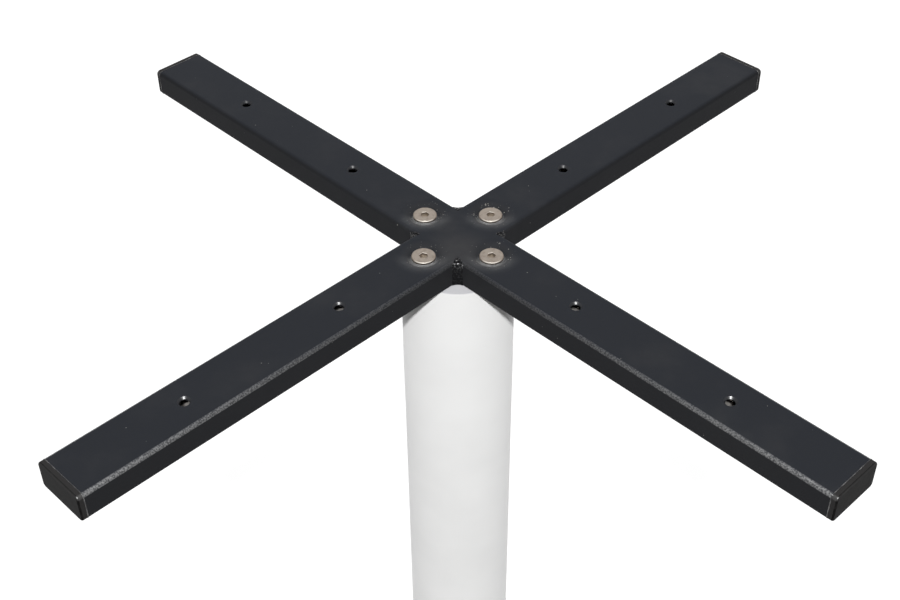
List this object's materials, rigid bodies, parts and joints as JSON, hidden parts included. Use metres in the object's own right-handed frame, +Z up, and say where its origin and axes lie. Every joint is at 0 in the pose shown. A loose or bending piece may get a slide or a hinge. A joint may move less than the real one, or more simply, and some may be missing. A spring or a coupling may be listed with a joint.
{
  "type": "disc table base",
  "caption": "Pedestal table base: a round disc foot, a round column and an X of rectangular tube with holes for the tabletop.",
  "frame": {"origin": "on the floor, under the column's axis", "axes": "+Z up along the column; the arms lie on the diagonals between +X and +Y, and the front faces -Y"},
  "size_m": [0.4686, 0.4686, 0.72],
  "materials": {
    "white_powder_coat": "satin white powder coat",
    "black_powder_coat": "fine textured black powder coat, semi-gloss",
    "black_weld": "glossy black coat over a rippled weld",
    "nickel_plate": "warm nickel plate with turned rings",
    "black_plastic": "moulded black plastic, fine grain",
    "grey_plastic": "moulded grey plastic"
  },
  "bodies": {
    "root": {"base_disc": "white_powder_coat", "column_foot_plate": "white_powder_coat", "column_tube": "white_powder_coat", "column_top_plate": "white_powder_coat", "front_right_arm": "black_powder_coat", "back_right_arm": "black_powder_coat", "back_left_arm": "black_powder_coat", "front_left_arm": "black_powder_coat", "right_weld": "black_weld", "back_weld": "black_weld", "left_weld": "black_weld", "front_weld": "black_weld", "front_right_cap": "black_plastic", "front_right_screw": "nickel_plate", "front_right_foot_screw": "nickel_plate", "back_right_cap": "black_plastic", "back_right_screw": "nickel_plate", "back_right_foot_screw": "nickel_plate", "back_left_cap": "black_plastic", "back_left_screw": "nickel_plate", "back_left_foot_screw": "nickel_plate", "front_left_cap": "black_plastic", "front_left_screw": "nickel_plate", "front_left_foot_screw": "nickel_plate", "glide_1": "grey_plastic", "glide_2": "grey_plastic", "glide_3": "grey_plastic", "glide_4": "grey_plastic", "glide_5": "grey_plastic", "glide_6": "grey_plastic"}
  },
  "joints": []
}
